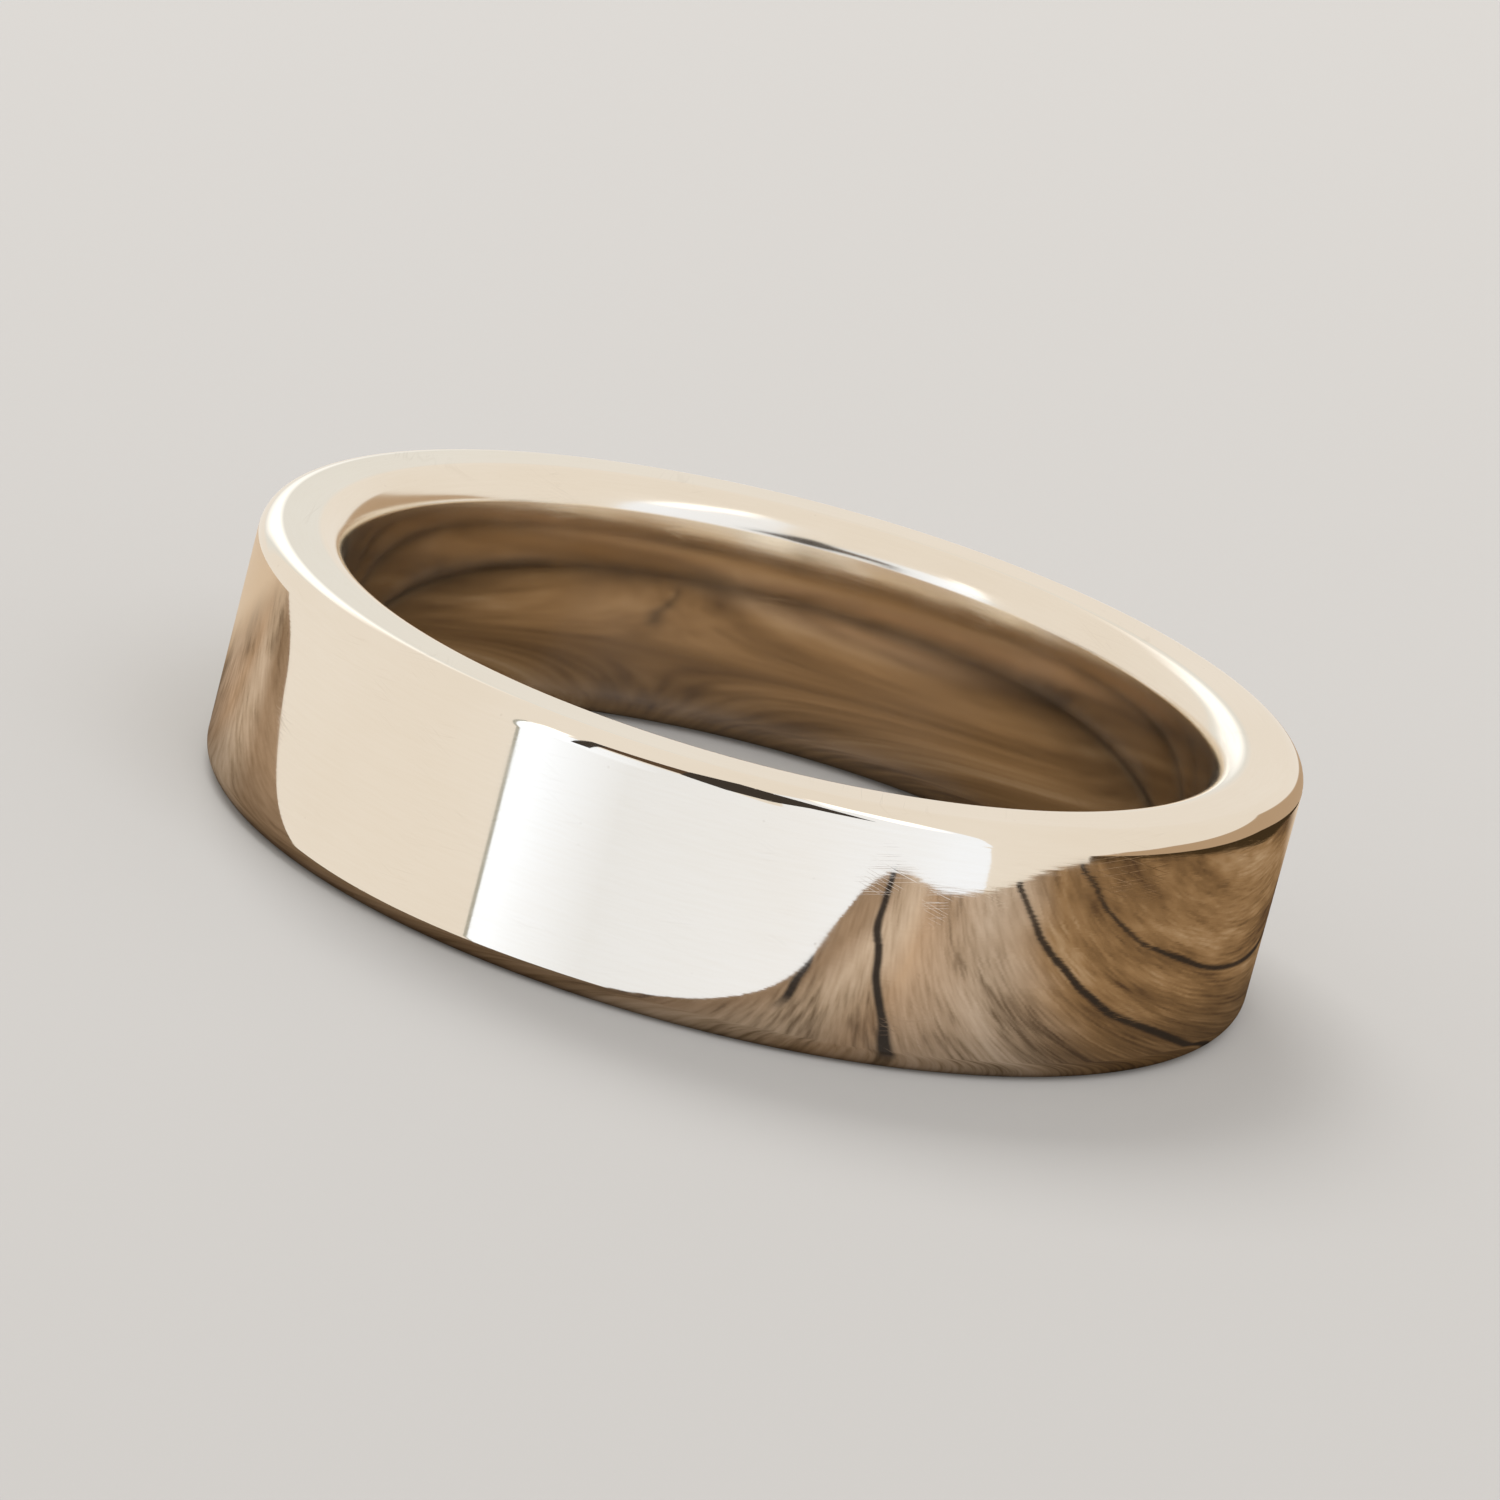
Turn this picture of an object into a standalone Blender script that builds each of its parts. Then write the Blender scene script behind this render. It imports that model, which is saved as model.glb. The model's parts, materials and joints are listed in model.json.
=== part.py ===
"""A plain wedding band, turned from one piece of gold.

The band lies flat: its axis is +Z, and the origin is the centre of the bore at half the width.
The outer wall is straight, the rims are flat, all four edges are rounded, and the bore is a comfort
fit: it swells gently inwards between its two edges.
"""
import math

import bpy

MM = 0.001

# Driving dimensions, in metres
BAND_WIDTH = 6.0 * MM
OUTER_DIAMETER = 24.8 * MM
BORE_DIAMETER = 20.4 * MM         # at half the width, where the bore is narrowest
OUTER_EDGE_RADIUS = 0.5 * MM      # between the outer wall and each rim
BORE_EDGE_RADIUS = 0.8 * MM       # between each rim and the bore
COMFORT_ARC_RADIUS = 20.0 * MM    # of the bore's swell, seen in section

# Mesh resolution
TURN_STEPS = 120
OUTER_EDGE_SEGMENTS = 5
BORE_EDGE_SEGMENTS = 5
COMFORT_ARC_SEGMENTS = 6

GOLD_COLOR = (0.86, 0.76, 0.60, 1.0)
GOLD_ROUGHNESS = 0.08
SCREW_MERGE_DISTANCE = 0.000001


def remove_everything():
    """Start from an empty scene."""
    for scene_object in list(bpy.data.objects):
        bpy.data.objects.remove(scene_object, do_unlink=True)


def arc(centre_x, centre_z, radius, start_degrees, end_degrees, segments):
    """Points on an arc in the XZ plane, from its start up to but not including its end."""
    points = []
    for index in range(segments):
        angle = math.radians(start_degrees + (end_degrees - start_degrees) * index / segments)
        points.append((centre_x + radius * math.cos(angle), 0.0, centre_z + radius * math.sin(angle)))
    return points


def band_section():
    """The closed section of the band: down the outer wall, in along the lower rim, up the bore and out."""
    outer_x = OUTER_DIAMETER / 2 - OUTER_EDGE_RADIUS
    outer_z = BAND_WIDTH / 2 - OUTER_EDGE_RADIUS
    bore_z = BAND_WIDTH / 2 - BORE_EDGE_RADIUS

    # Each bore edge touches the comfort arc where the two circles share a tangent.
    comfort_x = BORE_DIAMETER / 2 + COMFORT_ARC_RADIUS
    centre_distance = COMFORT_ARC_RADIUS - BORE_EDGE_RADIUS
    bore_x = comfort_x - math.sqrt(centre_distance ** 2 - bore_z ** 2)
    tangent = math.degrees(math.asin(bore_z / centre_distance))

    section = arc(outer_x, outer_z, OUTER_EDGE_RADIUS, 90, 0, OUTER_EDGE_SEGMENTS)
    section.append((outer_x + OUTER_EDGE_RADIUS, 0.0, outer_z))
    section += arc(outer_x, -outer_z, OUTER_EDGE_RADIUS, 0, -90, OUTER_EDGE_SEGMENTS)
    section.append((outer_x, 0.0, -BAND_WIDTH / 2))
    section += arc(bore_x, -bore_z, BORE_EDGE_RADIUS, -90, tangent - 180, BORE_EDGE_SEGMENTS)
    section += arc(comfort_x, 0.0, COMFORT_ARC_RADIUS, 180 + tangent, 180 - tangent, COMFORT_ARC_SEGMENTS)
    section += arc(bore_x, bore_z, BORE_EDGE_RADIUS, 180 - tangent, 90, BORE_EDGE_SEGMENTS)
    section.append((bore_x, 0.0, BAND_WIDTH / 2))
    return section


def gold_material():
    """Polished pale gold."""
    gold = bpy.data.materials.new("polished_gold")
    gold.use_nodes = True
    shader = gold.node_tree.nodes["Principled BSDF"]
    shader.inputs["Base Color"].default_value = GOLD_COLOR
    shader.inputs["Metallic"].default_value = 1.0
    shader.inputs["Roughness"].default_value = GOLD_ROUGHNESS
    return gold


def turned_band(collection):
    """The band: its section carried once round the Z axis."""
    section = band_section()
    edges = [(index, (index + 1) % len(section)) for index in range(len(section))]
    mesh = bpy.data.meshes.new("band")
    mesh.from_pydata(section, edges, [])
    mesh.materials.append(gold_material())

    band = bpy.data.objects.new("band", mesh)
    collection.objects.link(band)

    turn = band.modifiers.new("turn", "SCREW")
    turn.axis = "Z"
    turn.angle = math.tau
    turn.steps = TURN_STEPS
    turn.render_steps = TURN_STEPS
    turn.use_merge_vertices = True
    turn.merge_threshold = SCREW_MERGE_DISTANCE
    turn.use_smooth_shade = True
    return band


def build():
    """Model the wedding band in a collection of its own."""
    remove_everything()
    collection = bpy.data.collections.new("wedding_band")
    bpy.context.scene.collection.children.link(collection)
    turned_band(collection)


build()
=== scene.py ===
"""Looks for the wedding band: polished champagne gold on a plain pale floor, in soft studio light.

The band is turned again from the CAD's own diameters and width, with many more steps, so that its
reflections run smoothly. A polished band shows little but what stands round it, so its surroundings
are part of the set: a warm board under it, a softbox in front, a dark flag above the softbox, and
lamps. Only reflections see them, and the camera sees the band and the floor. Directions round the
band are azimuths and elevations in degrees: azimuth 0 is the front, -Y, and 90 is the right, +X.
"""
import json
import math

import bpy
from mathutils import Matrix, Vector

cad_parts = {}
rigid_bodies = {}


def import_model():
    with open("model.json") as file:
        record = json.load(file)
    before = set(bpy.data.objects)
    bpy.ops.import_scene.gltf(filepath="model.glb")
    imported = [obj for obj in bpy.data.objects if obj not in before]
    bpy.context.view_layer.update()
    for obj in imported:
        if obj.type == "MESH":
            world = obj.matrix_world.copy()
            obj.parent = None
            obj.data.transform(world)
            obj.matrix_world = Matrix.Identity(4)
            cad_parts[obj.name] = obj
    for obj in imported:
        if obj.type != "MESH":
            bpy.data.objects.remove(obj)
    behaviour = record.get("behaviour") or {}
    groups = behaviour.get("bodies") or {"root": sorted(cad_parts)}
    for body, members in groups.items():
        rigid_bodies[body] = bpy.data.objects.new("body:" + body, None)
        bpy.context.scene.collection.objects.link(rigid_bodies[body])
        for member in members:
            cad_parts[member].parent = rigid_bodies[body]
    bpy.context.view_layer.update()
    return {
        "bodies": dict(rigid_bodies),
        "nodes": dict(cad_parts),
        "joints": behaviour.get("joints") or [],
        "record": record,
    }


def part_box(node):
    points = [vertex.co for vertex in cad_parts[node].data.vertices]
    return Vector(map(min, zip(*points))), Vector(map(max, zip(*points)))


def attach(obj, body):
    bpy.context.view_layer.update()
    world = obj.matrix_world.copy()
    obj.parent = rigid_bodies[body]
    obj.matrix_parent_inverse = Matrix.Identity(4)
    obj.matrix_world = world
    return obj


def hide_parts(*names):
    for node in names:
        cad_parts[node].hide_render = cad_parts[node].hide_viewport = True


MM = 0.001

# The band's section. Its diameters and its width are measured on the CAD node.
OUTER_EDGE_RADIUS = 0.5 * MM
BORE_EDGE_RADIUS = 0.8 * MM
COMFORT_ARC_RADIUS = 20.0 * MM
TURN_STEPS = 720
EDGE_SEGMENTS = 18
WALL_SEGMENTS = 12
RIM_SEGMENTS = 4
COMFORT_ARC_SEGMENTS = 24

# The polish
LINES_PER_MM = 14.0
LINE_DEPTH = 0.00024 * MM
WAVE_DEPTH = 0.0016 * MM
FLAW_DEPTH = 0.0002 * MM
BORE_RADII = (10.5, 11.1)         # the bore's softer polish ends between these, mm
BORE_END_HEIGHTS = (1.9, 2.4)     # its rounded edges begin between these, mm from the middle

# Camera
CAMERA_ELEVATION = 16.3
CAMERA_ROLL = 14.7
CAMERA_DISTANCE = 253.1 * MM
CAMERA_LENS = 262.9               # on Blender's standard 36 mm sensor
CAMERA_SHIFT = (-0.0037, 0.0024)

# Set
FLOOR_SIZE = 8.0
FLOOR_COLOR = (0.45, 0.455, 0.465, 1.0)
BACKDROP_COLOR = (0.66, 0.64, 0.615, 1.0)
SURROUNDINGS_COLOR = (0.86, 0.80, 0.725, 1.0)
GLOSSY_BOUNCES = 8                # light crosses the bore this often before it leaves
CARD_DISTANCE = 600 * MM
FLAG_DISTANCE = 20 * MM

# The board. Its looks are drawn in millimetres from the band's axis.
BOARD_DROP = 0.05 * MM            # it lies this far under the floor, clear of the band
WORN_EDGE_DISTANCE = 13.3         # of its worn left front edge from the axis
WORN_EDGE_ANGLE = 51.9            # of the way in from that edge, from +X
WALL_RADII = (10.0, 12.5)         # its looks inside the band and outside it meet between these
WALL_MIDDLE_RADIUS = 11.3
PAINTED_SHADE_REACH = (1.1, 4.5)          # the wall's painted shade on it fades out between these, either side
GREY_DEPTHS = (-4.0, 4.0)         # from front to back, it turns from grey to brown between these
PLAIN_DEPTHS = (5.0, 11.5)        # and is worn plain between these
PLAIN_SLANT_START = 8.0           # to the right of this it is worn plain further back,
PLAIN_SLANT = 0.9                 # by this slope
GRAIN_ANGLE = -59.0               # of its grain, from +X
GROOVE_TAPER = 1.5
GROOVES = (  # place across the grain, half width, start and end along the grain
    (-2.0, 0.34, 13.0, 60.0),
    (-5.4, 0.22, 16.0, 21.0),
    (8.8, 0.42, 7.0, 60.0),
    (14.8, 0.30, -60.0, 60.0),
    (2.8, 0.16, -1.0, 7.0),
)


def add_node(tree, kind, inputs=None, **settings):
    """A shader node with its settings, each input given a value or linked to another node's output."""
    node = tree.nodes.new(kind)
    for name, value in settings.items():
        setattr(node, name, value)
    for name, value in (inputs or {}).items():
        if isinstance(value, bpy.types.NodeSocket):
            tree.links.new(value, node.inputs[name])
        else:
            node.inputs[name].default_value = value
    return node


def calculate(tree, operation, *values):
    """The result of a Math node on numbers or outputs."""
    return add_node(tree, "ShaderNodeMath", dict(enumerate(values)), operation=operation).outputs[0]


def remap(tree, value, from_min, from_max, to_min, to_max, smooth=False):
    """value carried from one range to another and kept inside it."""
    node = add_node(
        tree,
        "ShaderNodeMapRange",
        {
            "Value": value,
            "From Min": from_min,
            "From Max": from_max,
            "To Min": to_min,
            "To Max": to_max,
        },
        interpolation_type="SMOOTHSTEP" if smooth else "LINEAR",
    )
    return node.outputs["Result"]


def components(tree, vector):
    """The X, Y and Z of vector."""
    return add_node(tree, "ShaderNodeSeparateXYZ", {0: vector}).outputs


def mix(tree, factor, first, second, blend_type="MIX"):
    """The colour first, passing into second as factor goes from 0 to 1."""
    inputs = {"Fac": factor, "Color1": first, "Color2": second}
    return add_node(tree, "ShaderNodeMixRGB", inputs, blend_type=blend_type).outputs["Color"]


def noise(tree, vector, scale, detail=2.0, distortion=0.0):
    """Noise from 0 to 1 at scale waves per unit of vector."""
    inputs = {"Vector": vector, "Scale": scale, "Detail": detail, "Distortion": distortion}
    return add_node(tree, "ShaderNodeTexNoise", inputs).outputs["Fac"]


def color_ramp(tree, factor, *stops):
    """The colour at factor between stops, each of them (position, colour)."""
    node = add_node(tree, "ShaderNodeValToRGB", {"Fac": factor})
    elements = node.color_ramp.elements
    while len(elements) < len(stops):
        elements.new(0.5)
    for element, (position, color) in zip(elements, stops):
        element.position = position
        element.color = color
    return node.outputs["Color"]


def millimetres(tree):
    """The object's own coordinates, in millimetres."""
    place = add_node(tree, "ShaderNodeTexCoord").outputs["Object"]
    scaled = add_node(tree, "ShaderNodeVectorMath", {0: place, "Scale": 1 / MM}, operation="SCALE")
    return scaled.outputs["Vector"]


def stretched(tree, vector, rotation, scale):
    """vector turned by rotation, in degrees, and scaled along its axes."""
    turned = add_node(
        tree,
        "ShaderNodeMapping",
        {"Vector": vector, "Rotation": [math.radians(angle) for angle in rotation]},
    )
    scaled = add_node(
        tree, "ShaderNodeMapping", {"Vector": turned.outputs["Vector"], "Scale": scale}
    )
    return scaled.outputs["Vector"]


def section_place(tree, place):
    """(distance from the axis, height along it), both in millimetres."""
    x, y, height = components(tree, place)
    flat = add_node(tree, "ShaderNodeCombineXYZ", {0: x, 1: y}).outputs["Vector"]
    radius = add_node(tree, "ShaderNodeVectorMath", {0: flat}, operation="LENGTH")
    return radius.outputs["Value"], height


def lathe_lines(tree, place, radius, height):
    """Fine, short lines round the axis, left by turning and polishing, on walls and rims alike."""
    x, y, _ = components(tree, place)
    across = calculate(tree, "MULTIPLY", calculate(tree, "ADD", radius, height), LINES_PER_MM)
    drawn_out = add_node(tree, "ShaderNodeCombineXYZ", {0: x, 1: y, 2: across})
    return noise(tree, drawn_out.outputs["Vector"], 1.0, detail=3.0)


def hairlines(tree, place):
    """Sparse, faint scratches in two directions, in a few patches."""
    sets = []
    for rotation, scale in (((0, 9, 5), (0.1, 0.1, 7.0)), ((0, -21, -8), (0.12, 0.12, 6.0))):
        field = noise(tree, stretched(tree, place, rotation, scale), 1.0, 1.0)
        distance = calculate(tree, "ABSOLUTE", calculate(tree, "SUBTRACT", field, 0.5))
        sets.append(remap(tree, distance, 0.0, 0.012, 1.0, 0.0, smooth=True))
    patches = remap(tree, noise(tree, place, 0.5, 2.0), 0.52, 0.72, 0.0, 1.0, smooth=True)
    return calculate(tree, "MULTIPLY", calculate(tree, "MAXIMUM", *sets), patches)


def pits(tree, place):
    """Tiny, sparse pits in the polish."""
    cells = add_node(
        tree, "ShaderNodeTexVoronoi", {"Vector": place, "Scale": 1.1, "Randomness": 1.0}
    )
    return remap(tree, cells.outputs["Distance"], 0.02, 0.05, 1.0, 0.0, smooth=True)


def bumped(tree, height, depth, normal=None):
    """The normal of a surface with height, from 0 to 1, standing depth metres tall."""
    inputs = {"Height": height, "Distance": depth, "Strength": 1.0}
    if normal is not None:
        inputs["Normal"] = normal
    return add_node(tree, "ShaderNodeBump", inputs).outputs["Normal"]


def gold_material():
    """Champagne gold: a mirror polish outside with faint lathe lines and wear, softer in the bore."""
    gold = bpy.data.materials.new("polished_gold")
    gold.use_nodes = True
    tree = gold.node_tree
    shader = tree.nodes["Principled BSDF"]
    shader.inputs["Metallic"].default_value = 1.0

    place = millimetres(tree)
    radius, height = section_place(tree, place)
    lines = lathe_lines(tree, place, radius, height)
    flaws = calculate(tree, "MAXIMUM", hairlines(tree, place), pits(tree, place))
    smudges = noise(tree, place, 0.35, 4.0, distortion=0.6)
    smudges = remap(tree, smudges, 0.45, 0.75, 0.0, 1.0, smooth=True)
    in_bore = remap(tree, radius, *BORE_RADII, 1.0, 0.0, smooth=True)
    from_middle = calculate(tree, "ABSOLUTE", height)
    bore_edge = remap(tree, from_middle, *BORE_END_HEIGHTS, 0.0, 1.0, smooth=True)
    bore_edge = calculate(tree, "MULTIPLY", in_bore, bore_edge)

    tone = calculate(tree, "MULTIPLY_ADD", lines, 0.4, noise(tree, place, 0.15))
    color = color_ramp(
        tree,
        tone,
        (0.50, (0.935, 0.880, 0.792, 1.0)),
        (0.92, (0.905, 0.838, 0.735, 1.0)),
    )
    color = mix(tree, calculate(tree, "MULTIPLY", flaws, 0.12), color, (0.5, 0.41, 0.32, 1.0))
    tree.links.new(color, shader.inputs["Base Color"])

    roughness = calculate(tree, "MULTIPLY_ADD", lines, 0.04, 0.02)
    roughness = calculate(tree, "MULTIPLY_ADD", smudges, 0.025, roughness)
    roughness = calculate(tree, "MULTIPLY_ADD", flaws, 0.04, roughness)
    roughness = calculate(tree, "MULTIPLY_ADD", in_bore, 0.045, roughness)
    roughness = calculate(tree, "MULTIPLY_ADD", bore_edge, 0.07, roughness)
    tree.links.new(roughness, shader.inputs["Roughness"])

    unflawed = calculate(tree, "SUBTRACT", 1.0, flaws)
    normal = bumped(tree, noise(tree, place, 0.3, detail=1.0), WAVE_DEPTH)
    normal = bumped(tree, lines, LINE_DEPTH, normal)
    normal = bumped(tree, unflawed, FLAW_DEPTH, normal)
    tree.links.new(normal, shader.inputs["Normal"])
    return gold


def arc(centre, radius, start_degrees, end_degrees, segments):
    """(place, normal) pairs on an arc of the section, each a (radius, height) pair."""
    points = []
    for index in range(segments + 1):
        angle = math.radians(start_degrees + (end_degrees - start_degrees) * index / segments)
        outward = Vector((math.cos(angle), math.sin(angle)))
        points.append((Vector(centre) + radius * outward, outward))
    return points


def straight(start, end, segments):
    """(place, normal) pairs inside the straight stretch from one pair to the next, ends left out."""
    points = []
    for index in range(1, segments):
        points.append((start[0].lerp(end[0], index / segments), start[1]))
    return points


def band_section(outer_radius, bore_radius, half_width):
    """The band's section with its normals, down the outer wall, along the lower rim and up the bore."""
    outer_x = outer_radius - OUTER_EDGE_RADIUS
    outer_z = half_width - OUTER_EDGE_RADIUS
    bore_z = half_width - BORE_EDGE_RADIUS

    # Each bore edge touches the comfort arc where the two circles share a tangent.
    comfort_x = bore_radius + COMFORT_ARC_RADIUS
    centre_distance = COMFORT_ARC_RADIUS - BORE_EDGE_RADIUS
    bore_x = comfort_x - math.sqrt(centre_distance ** 2 - bore_z ** 2)
    tangent = math.degrees(math.asin(bore_z / centre_distance))

    upper_outer_edge = arc((outer_x, outer_z), OUTER_EDGE_RADIUS, 90, 0, EDGE_SEGMENTS)
    lower_outer_edge = arc((outer_x, -outer_z), OUTER_EDGE_RADIUS, 0, -90, EDGE_SEGMENTS)
    lower_bore_edge = arc((bore_x, -bore_z), BORE_EDGE_RADIUS, -90, tangent - 180, EDGE_SEGMENTS)
    bore = arc((comfort_x, 0), COMFORT_ARC_RADIUS, 180 + tangent, 180 - tangent, COMFORT_ARC_SEGMENTS)
    upper_bore_edge = arc((bore_x, bore_z), BORE_EDGE_RADIUS, 180 - tangent, 90, EDGE_SEGMENTS)

    section = upper_outer_edge
    section += straight(upper_outer_edge[-1], lower_outer_edge[0], WALL_SEGMENTS)
    section += lower_outer_edge
    section += straight(lower_outer_edge[-1], lower_bore_edge[0], RIM_SEGMENTS)
    section += lower_bore_edge
    section += bore[1:-1]
    section += upper_bore_edge
    section += straight(upper_bore_edge[-1], upper_outer_edge[0], RIM_SEGMENTS)
    return section


def turned_mesh(name, section, steps):
    """The section carried once round the Z axis, shaded with the section's own normals."""
    vertices = []
    normals = []
    for step in range(steps):
        turn = math.tau * step / steps
        for place, outward in section:
            vertices.append((place.x * math.cos(turn), place.x * math.sin(turn), place.y))
            normals.append((outward.x * math.cos(turn), outward.x * math.sin(turn), outward.y))

    count = len(section)
    faces = []
    for step in range(steps):
        here = step * count
        there = (step + 1) % steps * count
        for index in range(count):
            following = (index + 1) % count
            faces.append((here + following, there + following, there + index, here + index))

    mesh = bpy.data.meshes.new(name)
    mesh.from_pydata(vertices, [], faces)
    mesh.shade_smooth()
    mesh.normals_split_custom_set_from_vertices(normals)
    return mesh


def gold_band(frame):
    """The band itself, as wide and as large as the CAD node that it stands for."""
    distances = [vertex.co.xy.length for vertex in frame["nodes"]["band"].data.vertices]
    half_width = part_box("band")[1].z
    section = band_section(max(distances), min(distances), half_width)
    band = bpy.data.objects.new("gold_band", turned_mesh("gold_band", section, TURN_STEPS))
    bpy.context.scene.collection.objects.link(band)
    band.data.materials.append(gold_material())
    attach(band, "root")
    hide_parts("band")


def stage_object(name, data, material):
    """A piece of the set."""
    piece = bpy.data.objects.new(name, data)
    bpy.context.scene.collection.objects.link(piece)
    piece.data.materials.append(material)
    return piece


def only_reflected(piece):
    """Keep piece out of every ray but the band's reflections."""
    piece.visible_camera = False
    piece.visible_diffuse = False
    piece.visible_shadow = False
    piece.visible_transmission = False
    piece.visible_volume_scatter = False


def plain_material(name, color, roughness):
    """A plain, even finish."""
    material = bpy.data.materials.new(name)
    material.use_nodes = True
    shader = material.node_tree.nodes["Principled BSDF"]
    shader.inputs["Base Color"].default_value = color
    shader.inputs["Roughness"].default_value = roughness
    return material


def pale_floor(height):
    """The plain floor. Reflections and bounced light pass through it to the board."""
    half = FLOOR_SIZE / 2
    corners = [
        (-half, -half, height),
        (half, -half, height),
        (half, half, height),
        (-half, half, height),
    ]
    mesh = bpy.data.meshes.new("floor")
    mesh.from_pydata(corners, [], [(0, 1, 2, 3)])
    floor = stage_object("floor", mesh, plain_material("pale_floor", FLOOR_COLOR, 0.9))
    floor.visible_glossy = False
    floor.visible_diffuse = False
    floor.visible_shadow = False


def worn_edge(tree, x, y):
    """A tint for the board: a dark strip along its left front edge, with a paler strip beside it."""
    angle = math.radians(WORN_EDGE_ANGLE)
    inward = calculate(tree, "MULTIPLY_ADD", x, math.cos(angle), WORN_EDGE_DISTANCE)
    inward = calculate(tree, "MULTIPLY_ADD", y, math.sin(angle), inward)
    return color_ramp(
        tree,
        remap(tree, inward, 0.0, 10.0, 0.0, 1.0),
        (0.0, (0.60, 0.50, 0.39, 1.0)),
        (0.19, (0.62, 0.52, 0.41, 1.0)),
        (0.32, (1.0, 0.96, 0.90, 1.0)),
        (0.42, (1.0, 0.96, 0.90, 1.0)),
        (0.56, (0.85, 0.72, 0.58, 1.0)),
        (1.0, (1.0, 1.0, 1.0, 1.0)),
    )


def grooves_in(tree, place, turn):
    """Where the board's grooves are, from 0 to 1. They run along the grain and wander a little."""
    along, across, _ = components(tree, stretched(tree, place, turn, (1.0, 1.0, 1.0)))
    wander = remap(tree, noise(tree, place, 0.12), 0.2, 0.8, -0.7, 0.7)
    across = calculate(tree, "ADD", across, wander)
    grooves = 0.0
    for groove, half_width, start, end in GROOVES:
        distance = calculate(tree, "ABSOLUTE", calculate(tree, "SUBTRACT", across, groove))
        line = remap(tree, distance, half_width / 3, half_width, 1.0, 0.0, smooth=True)
        started = remap(tree, along, start - GROOVE_TAPER, start, 0.0, 1.0)
        not_ended = remap(tree, along, end, end + GROOVE_TAPER, 1.0, 0.0)
        line = calculate(tree, "MULTIPLY", line, calculate(tree, "MULTIPLY", started, not_ended))
        grooves = calculate(tree, "MAXIMUM", line, grooves)
    return grooves


def weathered_grain(tree, place, turn, x, y, radius):
    """The board's wood before wear: grey in front, brown further back and within the band."""
    streaks = noise(tree, stretched(tree, place, turn, (0.07, 0.34, 1.0)), 1.0, 3.0, distortion=0.5)
    fibres = noise(tree, stretched(tree, place, turn, (0.5, 5.0, 1.0)), 1.0, 4.0)
    grain = calculate(tree, "MULTIPLY_ADD", fibres, 0.40, calculate(tree, "MULTIPLY", streaks, 0.60))
    brown = color_ramp(
        tree,
        grain,
        (0.36, (0.045, 0.022, 0.008, 1.0)),
        (0.47, (0.135, 0.078, 0.032, 1.0)),
        (0.56, (0.215, 0.133, 0.064, 1.0)),
        (0.66, (0.310, 0.225, 0.140, 1.0)),
    )
    grey = color_ramp(
        tree,
        grain,
        (0.36, (0.130, 0.094, 0.062, 1.0)),
        (0.46, (0.310, 0.250, 0.195, 1.0)),
        (0.56, (0.400, 0.337, 0.285, 1.0)),
        (0.66, (0.460, 0.398, 0.345, 1.0)),
    )
    depth = calculate(tree, "MULTIPLY_ADD", x, 0.6, y)
    depth = calculate(tree, "MULTIPLY_ADD", noise(tree, place, 0.15), 8.0, depth)
    weathering = remap(tree, depth, *GREY_DEPTHS, 1.0, 0.0, smooth=True)
    outside = remap(tree, radius, *WALL_RADII, 0.3, 1.0)
    return mix(tree, calculate(tree, "MULTIPLY", weathering, outside), brown, grey)


def worn_plain(tree, x, y, radius):
    """Where the board is worn plain, from 0 to 1: behind the band, and further back on the right."""
    to_right = calculate(tree, "SUBTRACT", x, PLAIN_SLANT_START)
    to_right = calculate(tree, "MAXIMUM", to_right, 0.0)
    depth = calculate(tree, "MULTIPLY_ADD", to_right, -PLAIN_SLANT, y)
    behind = remap(tree, depth, *PLAIN_DEPTHS, 0.0, 1.0, smooth=True)
    outside = remap(tree, radius, *WALL_RADII, 0.0, 1.0)
    return calculate(tree, "MULTIPLY", behind, outside)


def painted_contact_shade(tree, radius):
    """Painted shade from the band's wall: how much of its own colour the board shows, least right under
    the wall.
    """
    to_wall = calculate(tree, "ABSOLUTE", calculate(tree, "SUBTRACT", radius, WALL_MIDDLE_RADIUS))
    return remap(tree, to_wall, *PAINTED_SHADE_REACH, 0.55, 1.0)


def board_material():
    """Weathered wood with grooves along its grain, a worn edge, a plain stretch behind the band, and
    painted shade under the band's wall.
    """
    wood = bpy.data.materials.new("warm_board")
    wood.use_nodes = True
    tree = wood.node_tree
    shader = tree.nodes["Principled BSDF"]
    shader.inputs["Roughness"].default_value = 0.8
    shader.inputs["Specular IOR Level"].default_value = 0.1

    place = millimetres(tree)
    turn = (0, 0, -GRAIN_ANGLE)
    x, y, _ = components(tree, place)
    radius, _ = section_place(tree, place)
    color = weathered_grain(tree, place, turn, x, y, radius)
    color = mix(tree, 1.0, color, worn_edge(tree, x, y), blend_type="MULTIPLY")
    color = mix(tree, grooves_in(tree, place, turn), color, (0.012, 0.007, 0.004, 1.0))
    color = mix(tree, worn_plain(tree, x, y, radius), color, (0.46, 0.375, 0.29, 1.0))
    # Painted shade: near the band's wall the board's colour passes into a near-black brown.
    color = mix(tree, painted_contact_shade(tree, radius), (0.02, 0.012, 0.005, 1.0), color)
    tree.links.new(color, shader.inputs["Base Color"])
    return wood


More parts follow.
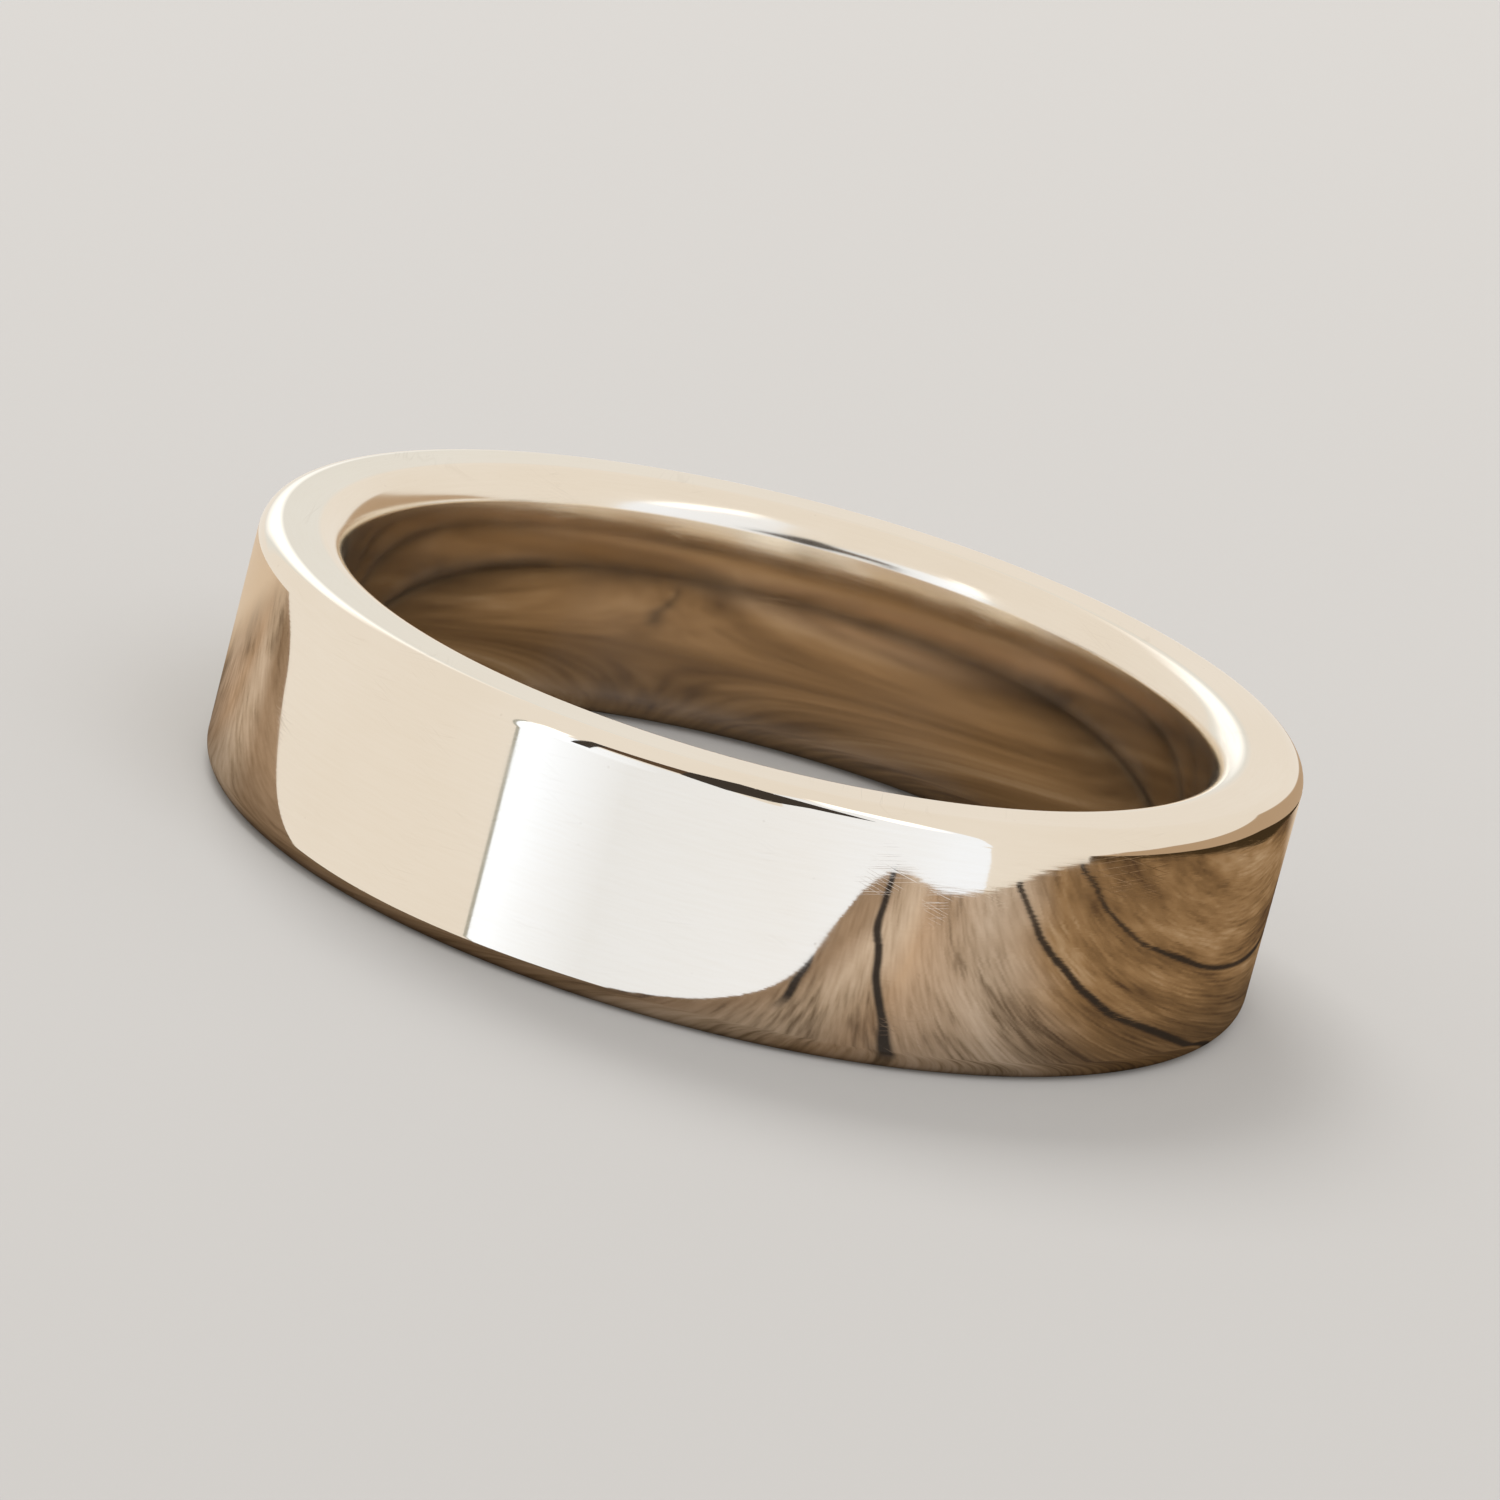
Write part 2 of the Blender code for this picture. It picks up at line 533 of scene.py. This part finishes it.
def warm_board(height):
    """The board under the band, seen only in its reflections, with a worn front edge."""
    outline = (
        (-26, 10), (-25, 4.5), (-23.5, 2), (-20, -1), (-12, -7), (-5, -12.5), (1.5, -16),
        (4, -18), (8, -22.5), (11, -24.5), (13, -24.5), (15.5, -21.5), (19, -19), (24, -15.5),
        (27.5, -8), (27, 2), (22.5, 11), (16, 18), (0, 20), (-20, 18),
    )
    curve = bpy.data.curves.new("board", "CURVE")
    curve.dimensions = "2D"
    curve.fill_mode = "BOTH"
    spline = curve.splines.new("BEZIER")
    spline.bezier_points.add(len(outline) - 1)
    spline.use_cyclic_u = True
    for point, (x, y) in zip(spline.bezier_points, outline):
        point.co = (x * MM, y * MM, 0)
        point.handle_left_type = "AUTO"
        point.handle_right_type = "AUTO"
    board = stage_object("board", curve, board_material())
    board.location.z = height
    only_reflected(board)


def direction(azimuth, elevation):
    """The unit vector from the band towards an azimuth and an elevation."""
    azimuth = math.radians(azimuth)
    elevation = math.radians(elevation)
    return Vector((
        math.sin(azimuth) * math.cos(elevation),
        -math.cos(azimuth) * math.cos(elevation),
        math.sin(elevation),
    ))


def rounded_outline(corners, radius, corner_steps=6, side_steps=12):
    """Points round a shape given by its corners, each corner rounded off over radius along its sides."""
    points = []
    corners = [Vector(corner) for corner in corners]
    for index, corner in enumerate(corners):
        before = corners[index - 1]
        after = corners[(index + 1) % len(corners)]
        start = corner + (before - corner).normalized() * radius
        end = corner + (after - corner).normalized() * radius
        for step in range(corner_steps + 1):
            share = step / corner_steps
            points.append(start.lerp(corner, share).lerp(corner.lerp(end, share), share))
        side_end = after + (corner - after).normalized() * radius
        for step in range(1, side_steps):
            points.append(end.lerp(side_end, step / side_steps))
    return points


def card_material(name, color, strength):
    """A glowing surface that fades out where the mesh's own cover value falls to 0."""
    material = bpy.data.materials.new(name)
    material.use_nodes = True
    tree = material.node_tree
    tree.nodes.remove(tree.nodes["Principled BSDF"])
    cover = add_node(tree, "ShaderNodeAttribute", attribute_name="cover").outputs["Fac"]
    clear = add_node(tree, "ShaderNodeBsdfTransparent").outputs["BSDF"]
    glow = add_node(tree, "ShaderNodeEmission", {"Color": color, "Strength": strength})
    mixed = add_node(tree, "ShaderNodeMixShader", {0: cover, 1: clear, 2: glow.outputs["Emission"]})
    tree.links.new(mixed.outputs["Shader"], tree.nodes["Material Output"].inputs["Surface"])
    return material


def softbox_material():
    """The softbox's cloth, brightest and bluest towards its left end, where its lamp is."""
    material = card_material("softbox_cloth", (1.0, 1.0, 1.0, 1.0), 1.33)
    tree = material.node_tree
    across, _, _ = components(tree, add_node(tree, "ShaderNodeTexCoord").outputs["Object"])
    color = color_ramp(
        tree,
        remap(tree, across, -0.5, 0.5, 0.0, 1.0),
        (0.0, (0.846, 0.912, 1.0, 1.0)),
        (0.13, (0.835, 0.895, 0.995, 1.0)),
        (0.34, (0.658, 0.680, 0.716, 1.0)),
        (0.62, (0.700, 0.723, 0.768, 1.0)),
        (0.88, (0.738, 0.784, 0.866, 1.0)),
    )
    glow = next(node for node in tree.nodes if node.type == "EMISSION")
    tree.links.new(color, glow.inputs["Color"])
    return material


def reflection_card(name, places, fade, material):
    """A card seen only in reflections: its outline's places, and how much of it fades at the edge."""
    middle = sum(places, Vector((0, 0, 0))) / len(places)
    vertices = [middle]
    vertices += [middle.lerp(place, 1 - fade) for place in places]
    vertices += places
    count = len(places)
    faces = [(0, index + 1, (index + 1) % count + 1) for index in range(count)]
    if fade:
        for index in range(count):
            following = (index + 1) % count
            faces.append((index + 1, index + 1 + count, following + 1 + count, following + 1))
    mesh = bpy.data.meshes.new(name)
    mesh.from_pydata(vertices, [], faces)
    cover = mesh.attributes.new("cover", "FLOAT", "POINT")
    for index in range(len(vertices)):
        cover.data[index].value = 1.0 if index <= count or not fade else 0.0
    only_reflected(stage_object(name, mesh, material))


def sky_card(name, corners, radius, fade, material, distance=CARD_DISTANCE):
    """A card all at one distance from the band, its corners given as azimuths and elevations."""
    places = [direction(*point) * distance for point in rounded_outline(corners, radius)]
    reflection_card(name, places, fade, material)


def softbox():
    """The big white softbox in front, its right end rounded and its top dipping behind the flag."""
    cloth = softbox_material()
    lower_part = ((-50, -60), (58, -60), (57.5, -18), (51, -13), (49, 4), (-50, 4))
    right_end = ((8, -5), (46, -10), (54.5, -17.5), (52, 6), (52, 24), (49, 44), (19, 66), (8, 60))
    left_end = ((-50, -5), (10, -5), (-8, 26), (-50, 29.5))
    sky_card("softbox", lower_part, 1, 0, cloth)
    sky_card("softbox_right", right_end, 3, 0, cloth)
    sky_card("softbox_left", left_end, 1, 0, cloth)
    frame = card_material("softbox_frame", (0.42, 0.41, 0.36, 1.0), 1.0)
    sky_card("softbox_frame", ((-50.9, -60), (-50, -60), (-50, 25), (-50.9, 25)), 0.3, 0, frame)


def dark_flag():
    """A dark flag close in front of the band, with a brown arm that ends in a hook on the left."""
    flag = ((-3.5, 7), (-3.5, 13.5), (-0.5, 18.5), (7.5, 7.5), (3.5, 7), (1.5, 5), (-1, 5))
    arm = ((-9, 9), (-9, 13), (-3.5, 13), (-3.5, 7.5))
    hook = ((-10.5, 4.5), (-10.5, 13), (-9, 13), (-9, 4.5))
    cloth = card_material("flag_cloth", (0.05, 0.041, 0.034, 1.0), 1.0)
    wood = card_material("flag_arm", (0.10, 0.062, 0.036, 1.0), 1.0)
    plates = (("flag", flag, cloth), ("flag_arm", arm, wood), ("flag_hook", hook, cloth))
    for name, corners, material in plates:
        places = [Vector((x * MM, -FLAG_DISTANCE, z * MM)) for x, z in corners]
        reflection_card(name, places, 0, material)


def lamps():
    """Lamps that put the soft highlights on the edges."""
    back = card_material("back_lamp", (1.0, 0.985, 0.96, 1.0), 1.32)
    sky_card("back_lamp", ((-178, 0), (-149, 0), (-141, 43), (-172, 43)), 8, 0.5, back)
    front = card_material("front_lamps", (1.0, 0.985, 0.96, 1.0), 1.6)
    before_softbox = CARD_DISTANCE * 0.9
    right_corners = ((21, 38), (49, 28), (48, 50), (40, 62), (30, 72), (22, 72))
    left_corners = ((-50, 12), (-41, 12), (-41, 38), (-50, 38))
    sky_card("right_lamp", right_corners, 3, 0.3, front, before_softbox)
    sky_card("left_lamp", left_corners, 3, 0.3, front, before_softbox)


def glowing_pale_sheet(height):
    """A glowing cream card, standing in for a lit sheet, that lies beyond the board on the right and
    trims the softbox's reflection.
    """
    outline = ((18.1, -18), (21, -22), (28, -29), (36, -24), (27, -13))
    places = [Vector((x * MM, y * MM, height)) for x, y in outline]
    reflection_card("glowing_pale_sheet", places, 0, card_material("glowing_pale_sheet", SURROUNDINGS_COLOR, 1.0))


def far_wall():
    """Glowing cards standing in for lit warm boards far behind on the right, over a dark gap, and for a
    cooler stretch of lit wall on the left.
    """
    tan = card_material("glowing_far_boards", (0.48, 0.34, 0.22, 1.0), 1.0)
    dark = card_material("dark_gap", (0.05, 0.031, 0.014, 1.0), 1.0)
    cool = card_material("glowing_cool_wall", (0.80, 0.81, 0.785, 1.0), 1.0)
    tan_corners = ((78, -17), (181, -17), (158, 8), (148, 23), (100, 11), (85, 0))
    dark_corners = (
        (78, -19), (178, -19), (157, -3), (148, 2), (123, -8), (108, -11), (95, -12), (78, -16),
    )
    cool_corners = ((-181, -2), (-140, -2), (-140, 36), (-181, 36))
    sky_card("glowing_far_boards", tan_corners, 1, 0.08, tan)
    sky_card("dark_gap", dark_corners, 1, 0, dark, CARD_DISTANCE * 0.95)
    sky_card("glowing_cool_wall", cool_corners, 3, 0.35, cool, CARD_DISTANCE * 1.1)


def area_light(name, azimuth, elevation, distance, size, energy, color):
    """A soft square lamp that faces the band and lights only what is matt."""
    data = bpy.data.lights.new(name, "AREA")
    data.shape = "SQUARE"
    data.size = size
    data.energy = energy
    data.color = color
    lamp = bpy.data.objects.new(name, data)
    bpy.context.scene.collection.objects.link(lamp)
    lamp.location = direction(azimuth, elevation) * distance
    lamp.rotation_euler = lamp.location.to_track_quat("Z", "Y").to_euler()
    lamp.visible_glossy = False
    lamp.visible_camera = False


def surroundings():
    """Warm, even light from everywhere; the camera sees a pale backdrop instead."""
    world = bpy.data.worlds.new("studio")
    bpy.context.scene.world = world
    world.use_nodes = True
    tree = world.node_tree
    seen = add_node(tree, "ShaderNodeLightPath").outputs["Is Camera Ray"]
    color = mix(tree, seen, SURROUNDINGS_COLOR, BACKDROP_COLOR)
    tree.links.new(color, tree.nodes["Background"].inputs["Color"])


def camera():
    """The camera, aimed at the band's centre and rolled so that the band leans down to the right."""
    data = bpy.data.cameras.new("camera")
    data.lens = CAMERA_LENS
    data.shift_x = CAMERA_SHIFT[0]
    data.shift_y = CAMERA_SHIFT[1]
    data.clip_start = 10 * MM
    data.clip_end = 2 * FLOOR_SIZE
    viewer = bpy.data.objects.new("camera", data)
    bpy.context.scene.collection.objects.link(viewer)
    look = Matrix.Rotation(math.radians(90 - CAMERA_ELEVATION), 4, "X")
    roll = Matrix.Rotation(math.radians(CAMERA_ROLL), 4, "Z")
    viewer.matrix_world = (
        Matrix.Translation(direction(0, CAMERA_ELEVATION) * CAMERA_DISTANCE) @ look @ roll
    )
    bpy.context.scene.camera = viewer


for left_over in list(bpy.data.objects):
    bpy.data.objects.remove(left_over)
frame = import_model()

camera()
gold_band(frame)

floor_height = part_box("band")[0].z
pale_floor(floor_height)
warm_board(floor_height - BOARD_DROP)
glowing_pale_sheet(floor_height - 2 * BOARD_DROP)
softbox()
dark_flag()
lamps()
far_wall()
surroundings()
area_light("key", -150, 48, 500 * MM, 260 * MM, 1.6, (1.0, 0.97, 0.92))
area_light("fill", 40, 60, 600 * MM, 400 * MM, 0.8, (0.97, 0.98, 1.0))
bpy.context.scene.view_settings.view_transform = "Standard"
bpy.context.scene.cycles.glossy_bounces = GLOSSY_BOUNCES
